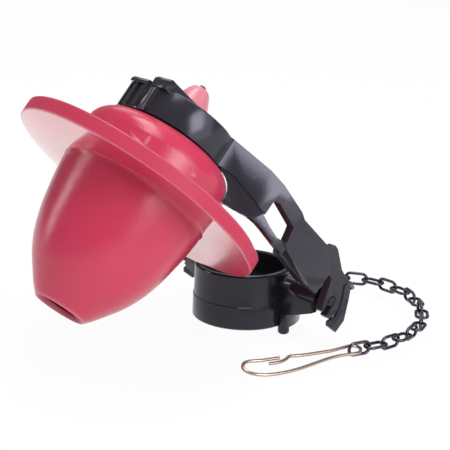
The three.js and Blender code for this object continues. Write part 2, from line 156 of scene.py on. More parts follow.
# %% World
ROOM_LIGHT = 0.31
TENT_BELOW = (0.55, 0.55, 0.62)
TENT_ABOVE = (1.0, 1.0, 1.0)

world = bpy.data.worlds.new("light_tent")
bpy.context.scene.world = world
world.use_nodes = True
sky = world.node_tree
sky.nodes.clear()
way = add_node(sky, "ShaderNodeTexCoord")
way_split = add_node(sky, "ShaderNodeSeparateXYZ")
height = add_node(sky, "ShaderNodeMapRange", in_From_Min=-0.1, in_From_Max=0.9)
tent = add_node(sky, "ShaderNodeBackground", in_Strength=ROOM_LIGHT)
white = add_node(sky, "ShaderNodeBackground", in_Color=(1, 1, 1, 1), in_Strength=1.0)
path = add_node(sky, "ShaderNodeLightPath")
either = add_node(sky, "ShaderNodeMixShader")
sky_out = add_node(sky, "ShaderNodeOutputWorld")
join(
    sky,
    (way.outputs["Generated"], way_split.inputs[0]),
    (way_split.outputs["Z"], height.inputs["Value"]),
    (color_mix(sky, height.outputs["Result"], TENT_BELOW, TENT_ABOVE), tent.inputs["Color"]),
    (
        math_node(sky, "MAXIMUM", path.outputs["Is Camera Ray"], path.outputs["Is Transmission Ray"]),
        either.inputs[0],
    ),
    (tent.outputs[0], either.inputs[1]),
    (white.outputs[0], either.inputs[2]),
    (either.outputs[0], sky_out.inputs["Surface"]),
)
print("room light", ROOM_LIGHT)

# %% [markdown]
# ## Floor
# The part lies on white paper with no edge in sight. A wide flat disc just under its lowest point does that.
# The paper is pale by its colour. Light Path mixes in a plain white for the camera and for mirrored rays, so
# that it stays near white without adding light, and the small share that is left matte keeps a soft shadow.

# %% Floor
FLOOR_RADIUS = 4.0
FLOOR_SIDES = 96
FLOOR_Z = cad_low.z - 0.0001
WHITE_TO_CAMERA = 0.94
WHITE_IN_MIRRORS = 0.85

floor_mesh = bpy.data.meshes.new("floor")
sheet = bmesh.new()
bmesh.ops.create_circle(sheet, cap_ends=True, segments=FLOOR_SIDES, radius=FLOOR_RADIUS)
bmesh.ops.translate(sheet, verts=sheet.verts, vec=(0, 0, FLOOR_Z))
sheet.to_mesh(floor_mesh)
sheet.free()
floor = linked_object("floor", floor_mesh)

paper = bpy.data.materials.new("white_paper")
paper.use_nodes = True
paper_tree = paper.node_tree
paper_tree.nodes.clear()
matte = add_node(paper_tree, "ShaderNodeBsdfDiffuse", in_Color=(0.92, 0.92, 0.92, 1))
glow = add_node(paper_tree, "ShaderNodeEmission", in_Color=(1, 1, 1, 1), in_Strength=1.0)
ray = add_node(paper_tree, "ShaderNodeLightPath")
seen_share = math_node(paper_tree, "MULTIPLY", ray.outputs["Is Camera Ray"], WHITE_TO_CAMERA)
mirror_share = math_node(paper_tree, "MULTIPLY", ray.outputs["Is Glossy Ray"], WHITE_IN_MIRRORS)
paper_mix = add_node(paper_tree, "ShaderNodeMixShader")
paper_out = add_node(paper_tree, "ShaderNodeOutputMaterial")
join(
    paper_tree,
    (math_node(paper_tree, "ADD", seen_share, mirror_share), paper_mix.inputs[0]),
    (matte.outputs[0], paper_mix.inputs[1]),
    (glow.outputs[0], paper_mix.inputs[2]),
    (paper_mix.outputs[0], paper_out.inputs["Surface"]),
)
floor.data.materials.append(paper)
print("floor at z", in_mm((FLOOR_Z,)), "mm")

# %% [markdown]
# ## Soft boxes
# Soft boxes give the long highlight on the bulb, the pale band on the dome and the patch on the cap.
# They could be placed by trying. Here each stands where the line of sight goes on after it is mirrored at
# that spot. The front fill stays out of the reflections, as a polarised lamp would.

# %% Soft boxes
LIT_AT = Vector((-0.02, -0.01, 0.04))
# name: how far right of, above and in front of the part; width and height; watts; tint
SOFT_BOXES = {
    "left_strip": ((-0.69, 0.31, -0.03), (0.07, 0.46), 0.88, (1.0, 1.0, 1.0)),
    "top_box": ((0.06, 0.87, 0.25), (0.96, 0.36), 6.3, (1.0, 0.99, 0.98)),
    "right_spot": ((0.56, 0.14, 0.70), (0.34, 0.40), 2.7, (0.95, 0.95, 1.0)),
    "right_wall": ((0.66, 0.04, 0.64), (0.70, 0.62), 2.4, (0.92, 0.93, 1.0)),
    "back_box": ((0.10, 0.75, -0.55), (0.70, 0.40), 1.2, (1.0, 1.0, 1.0)),
    "front_fill": ((0.05, 0.40, 0.88), (0.50, 0.40), 0.65, (1.0, 1.0, 1.0)),
}

for name, ((right, up, back), size, watts, tint) in SOFT_BOXES.items():
    lamp = bpy.data.lights.new(name, "AREA")
    lamp.shape = "RECTANGLE"
    lamp.size, lamp.size_y = size
    lamp.energy = watts
    lamp.color = tint
    holder = linked_object(name, lamp)
    holder.location = LIT_AT + CAMERA_RIGHT * right + CAMERA_UP * up + CAMERA_BACK * back
    holder.rotation_mode = "QUATERNION"
    holder.rotation_quaternion = (holder.location - LIT_AT).to_track_quat("Z", "Y")
    holder.visible_glossy = name != "front_fill"
print(len(SOFT_BOXES), "soft boxes")

# %% [markdown]
# ## Moulded skin
# Moulded plastic, rubber and drawn wire all have a faint skin: cloudy gloss and a very low, fine relief.
# It could be drawn anew in each material, but one shader group makes it once for all of them.
# Each material gives it its own scale and its own smoothest and roughest gloss.

# %% Moulded skin group
def node_group(name, kind, inputs, outputs):
    """A group with those sockets, given as label and type; returns it and both of its end nodes."""
    group = bpy.data.node_groups.new(name, kind)
    for side, sockets in (("INPUT", inputs), ("OUTPUT", outputs)):
        for label, value_type in sockets.items():
            group.interface.new_socket(name=label, in_out=side, socket_type="NodeSocket" + value_type)
    return group, group.nodes.new("NodeGroupInput"), group.nodes.new("NodeGroupOutput")


skin, skin_in, skin_out = node_group(
    "moulded_skin",
    "ShaderNodeTree",
    {"Vector": "Vector", "Grain": "Float", "Ripple": "Float", "Smooth": "Float", "Rough": "Float"},
    {"Roughness": "Float", "Height": "Float", "Cloud": "Float"},
)
fine = add_node(skin, "ShaderNodeTexNoise", in_Detail=4.0, in_Roughness=0.6)
broad = add_node(skin, "ShaderNodeTexNoise", in_Detail=2.0, in_Roughness=0.5)
spread = add_node(
    skin, "ShaderNodeMapRange", interpolation_type="SMOOTHSTEP", in_From_Min=0.2, in_From_Max=0.8
)
low_grain = math_node(skin, "MULTIPLY", fine.outputs["Fac"], 0.5)
join(
    skin,
    (skin_in.outputs["Vector"], fine.inputs["Vector"]),
    (skin_in.outputs["Grain"], fine.inputs["Scale"]),
    (skin_in.outputs["Vector"], broad.inputs["Vector"]),
    (skin_in.outputs["Ripple"], broad.inputs["Scale"]),
    (broad.outputs["Fac"], spread.inputs["Value"]),
    (skin_in.outputs["Smooth"], spread.inputs["To Min"]),
    (skin_in.outputs["Rough"], spread.inputs["To Max"]),
    (spread.outputs["Result"], skin_out.inputs["Roughness"]),
    (math_node(skin, "ADD", low_grain, broad.outputs["Fac"]), skin_out.inputs["Height"]),
    (broad.outputs["Fac"], skin_out.inputs["Cloud"]),
)
print("group", skin.name)

# %% [markdown]
# ## Hair scratches
# Handled black plastic shows hair-thin pale scratches. Modelling them would take thousands of faces.
# Noise that is stretched far along one way and cut at a high level leaves such lines as a mask.

# %% Hair scratch group
SCRATCH_STRETCH = (1.0, 0.08, 3.0)
SCRATCH_TURN = (0.4, 0.7, 0.3)
scratch, scratch_in, scratch_out = node_group(
    "hair_scratches",
    "ShaderNodeTree",
    {"Vector": "Vector", "Scale": "Float", "Amount": "Float"},
    {"Mask": "Float"},
)
stretch = add_node(scratch, "ShaderNodeMapping", in_Scale=SCRATCH_STRETCH, in_Rotation=SCRATCH_TURN)
lines = add_node(scratch, "ShaderNodeTexNoise", in_Detail=6.0, in_Roughness=0.7)
cut = add_node(scratch, "ShaderNodeMapRange", in_From_Min=0.62, in_From_Max=0.70)
join(
    scratch,
    (scratch_in.outputs["Vector"], stretch.inputs["Vector"]),
    (stretch.outputs["Vector"], lines.inputs["Vector"]),
    (scratch_in.outputs["Scale"], lines.inputs["Scale"]),
    (lines.outputs["Fac"], cut.inputs["Value"]),
    (
        math_node(scratch, "MULTIPLY", cut.outputs["Result"], scratch_in.outputs["Amount"]),
        scratch_out.inputs["Mask"],
    ),
)
print("group", scratch.name)

# %% [markdown]
# ## Red rubber
# The rubber is a glossy, slightly pinkish red. It is painted paler at the knob and the lips, a painted glow of
# light that would pass through thin rubber, and along the disc's corners and the marks, as painted highlights.
# Light scattered inside the rubber would give the glow, but it renders slowly. So the mesh stores how much
# painted light each place gets, and the colour follows. The sealing face under the disc looks as if it was made
# against a
# polished mould face: it mirrors the white table at a low angle, and a clear coat does that.

# %% A material with the moulded skin
def surface(name, color, skin_values, bump, **plain):
    """A Principled material whose roughness and relief come from the shared skin group.

    Returns it with its shader, its coordinates and the group's node."""
    material = bpy.data.materials.new(name)
    material.use_nodes = True
    tree = material.node_tree
    shader = tree.nodes["Principled BSDF"]
    shader.inputs["Base Color"].default_value = (*color, 1)
    for socket, value in plain.items():
        shader.inputs[socket.replace("_", " ")].default_value = value
    place = add_node(tree, "ShaderNodeTexCoord").outputs["Object"]
    made = add_node(tree, "ShaderNodeGroup", node_tree=skin)
    for socket, value in skin_values.items():
        made.inputs[socket].default_value = value
    strength, depth = bump
    relief = add_node(tree, "ShaderNodeBump", in_Strength=strength, in_Distance=depth)
    join(
        tree,
        (place, made.inputs["Vector"]),
        (made.outputs["Roughness"], shader.inputs["Roughness"]),
        (made.outputs["Height"], relief.inputs["Height"]),
        (relief.outputs["Normal"], shader.inputs["Normal"]),
    )
    return material, shader, place, made


# %% Red rubber
# Painted light: this pale pink paints a glow through thin rubber and highlights on the disc's corners and
# marks.
PAINTED_GLOW_PINK = (0.72, 0.28, 0.34)
LOW_ANGLE = (0.45, 0.80)


def red_rubber(name, deep, light, skin_values, bump, polished=False, **plain):
    """Rubber whose colour drifts between two reds, and turns pale where the mesh stores painted glow and
    highlight.

    When polished, a clear mirror skin shows at a low angle of view, where the mesh says so."""
    material, shader, _, made = surface(name, deep, skin_values, bump, **plain)
    tree = material.node_tree
    drift = color_mix(tree, made.outputs["Cloud"], deep, light)
    # Painted light: the colour turns pale pink as far as the stored painted glow and highlight say.
    painted_light_amount = add_node(tree, "ShaderNodeAttribute", attribute_name="painted_light")
    join(tree, (color_mix(tree, painted_light_amount.outputs["Fac"], drift, PAINTED_GLOW_PINK), shader.inputs["Base Color"]))
    if polished:
        slant = add_node(tree, "ShaderNodeLayerWeight", in_Blend=0.5)
        low_angle = add_node(
            tree,
            "ShaderNodeMapRange",
            interpolation_type="SMOOTHSTEP",
            in_From_Min=LOW_ANGLE[0],
            in_From_Max=LOW_ANGLE[1],
        )
        polish = add_node(tree, "ShaderNodeAttribute", attribute_name="polish")
        join(
            tree,
            (slant.outputs["Facing"], low_angle.inputs["Value"]),
            (
                math_node(tree, "MULTIPLY", low_angle.outputs["Result"], polish.outputs["Fac"]),
                shader.inputs["Coat Weight"],
            ),
        )
    return material


RUBBER_SKIN = {"Grain": 1500.0, "Ripple": 60.0, "Smooth": 0.17, "Rough": 0.27}
rubber = red_rubber(
    "red_rubber", (0.51, 0.029, 0.074), (0.58, 0.042, 0.098), RUBBER_SKIN, (0.7, 0.00018), IOR=1.5
)
# Painted light: the sealing face's reds are raised well above the bulb's, to brighten the face under the disc.
sealing_rubber = red_rubber(
    "polished_rubber",
    (0.68, 0.042, 0.095),
    (0.76, 0.056, 0.120),
    {"Grain": 1600.0, "Ripple": 50.0, "Smooth": 0.12, "Rough": 0.20},
    (0.08, 0.0002),
    polished=True,
    IOR=1.6,
    Coat_Roughness=0.10,
    Coat_IOR=4.2,
)
# Painted shade: the rim's reds are a little darker than the bulb's, to dim the rim side.
rim_rubber = red_rubber(
    "dull_rim_rubber",
    (0.48, 0.025, 0.067),
    (0.54, 0.036, 0.088),
    {**RUBBER_SKIN, "Smooth": 0.50, "Rough": 0.62},
    (0.45, 0.00012),
    IOR=1.4,
)
cut_rubber = red_rubber(
    "cut_gate_rubber", (0.05, 0.012, 0.018), (0.09, 0.02, 0.03), RUBBER_SKIN, (0.6, 0.0003), IOR=1.45
)
print("rubber materials:", rubber.name, sealing_rubber.name, rim_rubber.name, cut_rubber.name)

# %% [markdown]
# ## Black plastic
# The frame and the collar are moulded in black plastic, smooth, with a cool sheen. Black could be one dark
# value, but it is the gloss that shows its shape. The reflection has a slight blue tint, a painted reflection
# of the bluish soft boxes, and the colour is never quite zero; the frame's black is raised and tinted blue
# above the collar's, painted light from those reflections on its plates. The scratch group adds a little wear.

# %% Black plastic
def black_plastic(name, color, smooth, rough, scratches):
    """Black plastic with its smoothest and roughest gloss and its amount of scratches."""
    material, shader, place, _ = surface(
        name,
        color,
        {"Grain": 2200.0, "Ripple": 45.0, "Smooth": smooth, "Rough": rough},
        (0.25, 0.00015),
        IOR=1.48,
    )
    # Painted reflection: the reflection is tinted blue, as the bluish soft boxes are.
    shader.inputs["Specular Tint"].default_value = (0.87, 0.85, 1.0, 1)
    tree = material.node_tree
    marks = add_node(tree, "ShaderNodeGroup", node_tree=scratch)
    marks.inputs["Scale"].default_value = 160.0
    marks.inputs["Amount"].default_value = scratches
    worn = color_mix(tree, marks.outputs["Mask"], color, (0.11, 0.11, 0.13))
    join(tree, (place, marks.inputs["Vector"]), (worn, shader.inputs["Base Color"]))
    return material


# Painted reflection: the frame's black is raised and tinted blue above the collar's, to show its pale plates.
frame_black_painted_sheen = black_plastic("frame_black_painted_sheen", (0.0245, 0.0235, 0.0300), 0.09, 0.22, 0.30)
collar_black = black_plastic("collar_black", (0.0090, 0.0085, 0.0108), 0.12, 0.24, 0.22)
print("plastic materials:", frame_black_painted_sheen.name, collar_black.name)

# %% [markdown]
# ## Wires
# The chain is blackened wire and the hook is pale brass, both a little tarnished.
# Metal takes its colour from its reflection, so Metallic is full, and the skin's cloud mixes two tones.

# %% Wires
def wire_metal(name, color, worn_color, smooth, rough):
    """Drawn wire whose colour drifts to a tarnished tone."""
    material, shader, _, made = surface(
        name,
        color,
        {"Grain": 3000.0, "Ripple": 120.0, "Smooth": smooth, "Rough": rough},
        (0.12, 0.00005),
        Metallic=1.0,
    )
    tree = material.node_tree
    join(tree, (color_mix(tree, made.outputs["Cloud"], color, worn_color), shader.inputs["Base Color"]))
    return material


chain_dark = wire_metal("chain_dark", (0.060, 0.056, 0.075), (0.115, 0.108, 0.140), 0.22, 0.36)
brass_pale = wire_metal("brass_pale", (0.62, 0.50, 0.42), (0.38, 0.28, 0.22), 0.18, 0.30)
print("wire materials:", chain_dark.name, brass_pale.name)

# %% [markdown]
# ## Rubber stopper
# The stopper is one turned shape: a hollow bulb, a sealing disc, a dome, a neck and a knob.
# It could be modelled by hand or lathed with Spin. A turned shape follows a rule, so Geometry Nodes make it
# here from its half section, which is drawn level, as in the drawing of the part, in millimetres.

# %% Sizes shared with the drawing
HINGE = Vector((6.9, 0.0, 13.2)) * MM
OPEN_ANGLE = math.radians(41.6)
AXIS_REACH = 67.4
DISC_R = 43.2
DISC_BOTTOM = -9.9
DISC_TOP = DISC_BOTTOM + 5.0
BULB_LENGTH = 43.5
MOUTH_Z = DISC_BOTTOM - BULB_LENGTH
DOME_R = 25.8
DOME_TOP = 10.7
DOME_FOOT_TOP = DISC_TOP + 1.5
NECK_R = 5.3
KNOB_SEAT = 21.3
KNOB_TOP = 32.2
GATE_TOP = 32.8


def smooth_run(points, steps):
    """More points along a run of section points, on a curve through all of them."""
    points = [np.array(p, float) for p in points]
    ends = [2 * points[0] - points[1], *points, 2 * points[-1] - points[-2]]
    made = []
    for i in range(1, len(ends) - 2):
        a, b, c, d = ends[i - 1 : i + 3]
        square = 2 * a - 5 * b + 4 * c - d
        cube = 3 * b - a - 3 * c + d
        for t in np.arange(steps) / steps:
            made.append(0.5 * (2 * b + (c - a) * t + square * t * t + cube * t**3))
    return made + [points[-1]]


# %% Half section of the stopper
dome_inside = [
    (0.0, DOME_TOP - 2.6), (14.5, DOME_TOP - 2.8), (19.6, DOME_TOP - 4.0), (22.6, DOME_TOP - 7.0),
    (DOME_R - 2.0, DOME_TOP - 11.5),
]
# The bulb's points are radius and depth under the disc.
bulb_inside = [
    (23.6, 0.0), (23.0, 6.0), (21.8, 13.0), (20.6, 18.5), (18.8, 24.5), (16.4, 30.0), (13.1, 35.2),
    (9.8, 39.4), (8.0, BULB_LENGTH - 1.6),
]
bulb_lip = [(8.4, MOUTH_Z + 0.2), (8.6, MOUTH_Z), (8.85, MOUTH_Z)]
bulb_outside = [
    (9.0, 43.3), (11.5, 40.4), (14.3, 36.6), (16.7, 33.2), (18.7, 29.7), (20.3, 26.2), (21.6, 22.4),
    (22.8, 18.0), (23.8, 13.0), (24.7, 7.8), (25.3, 3.0), (25.45, 1.0), (25.8, 0.0),
]
underside = [(r, DISC_BOTTOM) for r in (26.4, 29.0, 32.0, 35.0, 38.0, 40.5, 42.0)]
disc_edge = [
    (DISC_R - 0.6, DISC_BOTTOM), (DISC_R - 0.15, DISC_BOTTOM + 0.15), (DISC_R, DISC_BOTTOM + 0.6),
    (DISC_R, DISC_TOP - 0.7), (DISC_R - 0.18, DISC_TOP - 0.18), (DISC_R - 0.7, DISC_TOP),
]
disc_face = [(r, DISC_TOP) for r in (41.0, 39.0, 36.0, 33.0, 30.0)]
dome_foot = [(DOME_R + 1.3, DISC_TOP), (DOME_R + 0.35, DISC_TOP + 0.45), (DOME_R, DOME_FOOT_TOP)]
# The dome's side has close rows, because the mould marks are pressed into it.
dome_side = [(DOME_R, DOME_FOOT_TOP + 0.4 * row) for row in range(1, 17)]
dome_outside = [
    (DOME_R, DOME_TOP - 7.4), (DOME_R - 0.5, DOME_TOP - 5.2), (DOME_R - 1.6, DOME_TOP - 3.3),
    (DOME_R - 3.3, DOME_TOP - 1.7), (DOME_R - 5.4, DOME_TOP - 0.6), (DOME_R - 7.8, DOME_TOP - 0.1),
]
neck = [
    (14.0, DOME_TOP), (NECK_R + 2.0, DOME_TOP), (NECK_R, DOME_TOP + 1.2), (NECK_R, KNOB_SEAT),
    (NECK_R + 1.2, KNOB_SEAT),
]
knob = [
    (NECK_R + 1.2, KNOB_SEAT + 0.6), (6.1, 24.4), (5.5, 26.4), (4.7, 28.3), (3.8, 30.2), (2.9, 31.4),
    (1.8, 32.0), (1.1, KNOB_TOP),
]
gate = [(1.05, 32.35), (1.0, GATE_TOP), (0.0, GATE_TOP)]
section = [
    *smooth_run(dome_inside, 2),
    *((r, DISC_BOTTOM - depth) for r, depth in smooth_run(bulb_inside, 4)),
    *bulb_lip,
    *((r, DISC_BOTTOM - depth) for r, depth in smooth_run(bulb_outside, 4)),
    *underside,
    *smooth_run(disc_edge, 3),
    *disc_face,
    *smooth_run(dome_foot, 3),
    *dome_side,
    *smooth_run(dome_outside, 3),
    *neck,
    *smooth_run(knob, 4),
    *gate,
]
print("section points", len(section))

# %% [markdown]
# The tree reads the section as a row of points. A grid has one row of faces for each point and one column for
# each side, and every grid point moves to its section point's radius and height, turned about the axis.
# Then the seam and the poles are welded, and the shape is leaned to the pose at rest.

# %% Geometry Nodes tree that turns a section about its axis
turning, t_in, t_out = node_group(
    "turn_section",
    "GeometryNodeTree",
    {"Geometry": "Geometry", "Sides": "Int", "Lean": "Vector", "Foot": "Vector", "Material": "Material"},
    {"Geometry": "Geometry"},
)
count = add_node(turning, "GeometryNodeAttributeDomainSize", component="MESH")
grid = add_node(turning, "GeometryNodeMeshGrid")
spot = add_node(turning, "GeometryNodeInputPosition")
split = add_node(turning, "ShaderNodeSeparateXYZ")
last_row = math_node(turning, "SUBTRACT", count.outputs["Point Count"], 1)
half_way = math_node(turning, "MULTIPLY", last_row, 0.5)
row = math_node(turning, "ADD", split.outputs["X"], half_way)
whole_row = add_node(turning, "FunctionNodeFloatToInt", rounding_mode="ROUND")
share = math_node(turning, "DIVIDE", split.outputs["Y"], t_in.outputs["Sides"])
angle = math_node(turning, "MULTIPLY", math_node(turning, "ADD", share, 0.5), math.tau)
read = add_node(turning, "GeometryNodeSampleIndex", data_type="FLOAT_VECTOR", domain="POINT")
section_split = add_node(turning, "ShaderNodeSeparateXYZ")
put = add_node(turning, "ShaderNodeCombineXYZ")
move = add_node(turning, "GeometryNodeSetPosition")
weld = add_node(turning, "GeometryNodeMergeByDistance", in_Distance=0.000005)
gloss = add_node(turning, "GeometryNodeSetShadeSmooth")
lean = add_node(turning, "GeometryNodeTransform")
realize = add_node(turning, "GeometryNodeRealizeInstances")
paint = add_node(turning, "GeometryNodeSetMaterial")
radius = section_split.outputs["X"]
join(
    turning,
    (t_in.outputs["Geometry"], count.inputs["Geometry"]),
    (last_row, grid.inputs["Size X"]),
    (t_in.outputs["Sides"], grid.inputs["Size Y"]),
    (count.outputs["Point Count"], grid.inputs["Vertices X"]),
    (math_node(turning, "ADD", t_in.outputs["Sides"], 1), grid.inputs["Vertices Y"]),
    (spot.outputs["Position"], split.inputs[0]),
    (row, whole_row.inputs[0]),
    (t_in.outputs["Geometry"], read.inputs["Geometry"]),
    (spot.outputs["Position"], read.inputs["Value"]),
    (whole_row.outputs[0], read.inputs["Index"]),
    (read.outputs["Value"], section_split.inputs[0]),
    (math_node(turning, "MULTIPLY", radius, math_node(turning, "COSINE", angle)), put.inputs["X"]),
    (math_node(turning, "MULTIPLY", radius, math_node(turning, "SINE", angle)), put.inputs["Y"]),
    (section_split.outputs["Z"], put.inputs["Z"]),
    (grid.outputs["Mesh"], move.inputs["Geometry"]),
    (put.outputs["Vector"], move.inputs["Position"]),
    (move.outputs["Geometry"], weld.inputs["Geometry"]),
    (weld.outputs["Geometry"], gloss.inputs["Geometry"]),
    (gloss.outputs["Geometry"], lean.inputs["Geometry"]),
    (t_in.outputs["Lean"], lean.inputs["Rotation"]),
    (t_in.outputs["Foot"], lean.inputs["Translation"]),
    (lean.outputs["Geometry"], realize.inputs["Geometry"]),
    (realize.outputs["Geometry"], paint.inputs["Geometry"]),
    (t_in.outputs["Material"], paint.inputs["Material"]),
    (paint.outputs["Geometry"], t_out.inputs["Geometry"]),
)
print("tree", turning.name, "with", len(turning.nodes), "nodes")

# %% [markdown]
# A tree runs as a modifier on a bare object. Its result becomes the object's own mesh and the modifier goes,
# so that the piece is plain faces. Faces made by turning or sweeping can point inward, so they are turned
# outward here.

# %% Run a tree and keep its mesh
def points_object(name, points, edges=(), attributes=None):
    """A bare mesh of points, in metres, for a tree to read."""
    mesh = bpy.data.meshes.new(name)
    mesh.from_pydata([tuple(p) for p in points], edges, [])
    for label, values in (attributes or {}).items():
        layer = mesh.attributes.new(label, "FLOAT_VECTOR", "POINT")
        layer.data.foreach_set("vector", np.array(values, np.float32).ravel())
    return linked_object(name, mesh)


def keep_result(piece, modifier):
    """Gives the piece the mesh that its modifier makes, and drops the modifier."""
    graph = bpy.context.evaluated_depsgraph_get()
    made = bpy.data.meshes.new_from_object(piece.evaluated_get(graph), depsgraph=graph)
    piece.modifiers.remove(modifier)
    piece.data = made
    return made


def run_tree(piece, tree, values):
    """Sets the tree's inputs by identifier, keeps the mesh it makes and turns its faces outward."""
    modifier = piece.modifiers.new(tree.name, "NODES")
    modifier.node_group = tree
    for item in tree.interface.items_tree:
        if item.item_type == "SOCKET" and item.in_out == "INPUT" and item.name in values:
            modifier[item.identifier] = values[item.name]
    made = keep_result(piece, modifier)
    made.materials.clear()
    made.materials.append(values["Material"])
    made.polygons.foreach_set("material_index", [0] * len(made.polygons))
    work = bmesh.new()
    work.from_mesh(made)
    bmesh.ops.recalc_face_normals(work, faces=work.faces)
    work.to_mesh(made)
    work.free()
    return made


# %% Turn the stopper
DISC_SIDES = 288
LEAN = Matrix.Rotation(OPEN_ANGLE, 3, "Y")
AXIS_FOOT = HINGE + LEAN @ Vector((-AXIS_REACH * MM, 0, 0))
stopper = points_object("rubber_stopper", [(r * MM, 0, z * MM) for r, z in section])
stopper_mesh = run_tree(
    stopper,
    turning,
    {"Sides": DISC_SIDES, "Lean": (0.0, OPEN_ANGLE, 0.0), "Foot": tuple(AXIS_FOOT), "Material": rubber},
)
print("stopper faces", len(stopper_mesh.polygons))

# %% [markdown]
# ## Which rubber each face has
# The underside of the disc is polished, the disc's rim is dull, and the knob's tip has the dark spot where the
# gate was cut. One mesh can carry several materials, so each face takes its own by where it lies.

# %% Rubber of each face
UNDERSIDE_FROM_R = 26.0
FACE_SLACK = 0.05
GATE_FROM_Z = 32.1


def level(point):
    """A point of the leaning stopper, back in the level drawing about its own axis, in mm."""
    return (LEAN.transposed() @ (Vector(point) - AXIS_FOOT)) / MM


def rubber_slot(r, z):
    """The material slot of a face at that radius and height."""
    if abs(z - DISC_BOTTOM) < FACE_SLACK and r > UNDERSIDE_FROM_R:
        return 1
    if z > GATE_FROM_Z:
        return 2
    if z < DISC_TOP and r > DISC_R - FACE_SLACK:
        return 3
    return 0


for extra in (sealing_rubber, cut_rubber, rim_rubber):
    stopper_mesh.materials.append(extra)
for face in stopper_mesh.polygons:
    p = level(face.center)
    face.material_index = rubber_slot(math.hypot(p.x, p.y), p.z)
slots = [face.material_index for face in stopper_mesh.polygons]
print("faces: polished", slots.count(1), "gate", slots.count(2), "rim", slots.count(3))

# %% [markdown]
# ## Mould marks and the bend of the disc
# The mould left two small lifted marks on the dome, and the soft disc has taken a slight bend.
# A bump in the material could fake the marks, but real shape gives both their own light, shade and outline.
# So each is a height that depends on the place round the axis, and the finished mesh is moved by it.

# %% Heights of the marks and the bend
FIRST_MARK_DEG = -146.0
SECOND_MARK_DEG = -102.3
SAG_SIDE_DEG = -52.0
SOFT_FROM_R = 28.0
RAISED_MM = 2.1
DROOPED_MM = 1.4
NEAR_STRETCH_MM = 2.0
NEAR_STRETCH_DEG = (-62.0, -4.0)
FAR_STRETCH_MM = 0.6
FAR_STRETCH_DEG = (98.0, 208.0)


def fin(away, rise, length, thickness, height):
    """Height of a low fin at a place that lies away along it and rise across it, in mm."""
    return height * math.exp(-((away / length) ** 2) - (rise / thickness) ** 2)


def mould_marks(turn_deg, z):
    """How far the dome's side stands out where moulding left flash on it: a curved tail, a tick and a spot."""
    first = math.radians(turn_deg - FIRST_MARK_DEG) * DOME_R
    second = math.radians(turn_deg - SECOND_MARK_DEG) * DOME_R
    tail = fin(first + 1.6, z + 0.9 - 0.10 * first * first, length=2.4, thickness=0.38, height=0.20)
    tick = fin(z - 0.9, first - 1.5, length=1.2, thickness=0.42, height=0.26)
    spot = fin(second, z - 0.6, length=0.7, thickness=0.55, height=0.18)
    return tail + tick + spot


def ramp(value, start, end):
    """Goes from 0 at start to 1 at end, and no further either way."""
    return min(max((value - start) / (end - start), 0.0), 1.0)


def arch(turn_deg, start, end):
    """Rises from 0 to 1 and falls back between two places round the disc."""
    along = (turn_deg - start) / (end - start)
    return math.sin(math.pi * along) if 0.0 < along < 1.0 else 0.0


def disc_set(turn_deg, r):
    """How far the soft disc has crept: up on its far side, down and outward on its near side.

    The near stretch ends where the seated disc passes the collar and the hook."""
    toward = math.cos(math.radians(turn_deg - SAG_SIDE_DEG))
    out = ramp(r, SOFT_FROM_R, DISC_R)
    rise = -DROOPED_MM * toward if toward > 0 else -RAISED_MM * toward
    near = NEAR_STRETCH_MM * arch(turn_deg, *NEAR_STRETCH_DEG)
    far = FAR_STRETCH_MM * arch(turn_deg % 360.0, *FAR_STRETCH_DEG)
    return rise * out**1.6, (near + far) * out


print("disc raised", RAISED_MM, "and drooped", DROOPED_MM, "mm")

# %% [markdown]
# ## Painted light and polished places
# The rubber is painted paler at the knob, the bulb's lip, the disc's corners and the marks: a painted glow
# where light would pass through thin rubber at the knob and lip, and painted highlights on the corners and
# marks. The sealing face loses its mirror toward its near edge. Both could be patterns in space, but they
# follow the shape, so they are stored on the mesh's points, where the materials read them.

# %% How much painted light and how much polish each place gets
# Painted light: knob and lip values paint a glow through thin rubber; corner and mark values paint highlights.
KNOB_PAINTED_GLOW = 0.75
KNOB_GLOW_Z = (20.5, 24.5)
LIP_PAINTED_GLOW = 0.45
LIP_SPREAD = 0.5
CORNER_PAINTED_HIGHLIGHT = 0.30
MARK_PAINTED_HIGHLIGHT = 0.6
MARK_HIGHLIGHT_PER_MM = 3.5
CUT_FACE_Z = 32.25
UNPOLISHED_AT = 37.0
POLISHED_AT = 27.5


def painted_light_at(r, z, lift):
    """How much painted glow and highlight the rubber gets, from 0 to 1, at a radius and height where a mark
    lifts it.
    """
    if z > CUT_FACE_Z:
        return 0.0
    knob_glow = KNOB_PAINTED_GLOW * ramp(z, *KNOB_GLOW_Z)
    lip_glow = LIP_PAINTED_GLOW * math.exp(-(((z - MOUTH_Z) / LIP_SPREAD) ** 2))
    # A painted highlight along the disc's upper and lower corners.
    on_corner = r > DISC_R - 0.5 and not DISC_BOTTOM + 0.5 < z < DISC_TOP - 0.6
    corner_highlight = CORNER_PAINTED_HIGHLIGHT if on_corner else 0.0
    return max(knob_glow, lip_glow, corner_highlight, min(MARK_HIGHLIGHT_PER_MM * lift, MARK_PAINTED_HIGHLIGHT))


def polish_at(turn_deg, r):
    """How much the sealing face mirrors, from 1 on its far side to 0 toward its near edge."""
    toward_edge = r * math.cos(math.radians(turn_deg - SAG_SIDE_DEG))
    return ramp(toward_edge, UNPOLISHED_AT, POLISHED_AT)


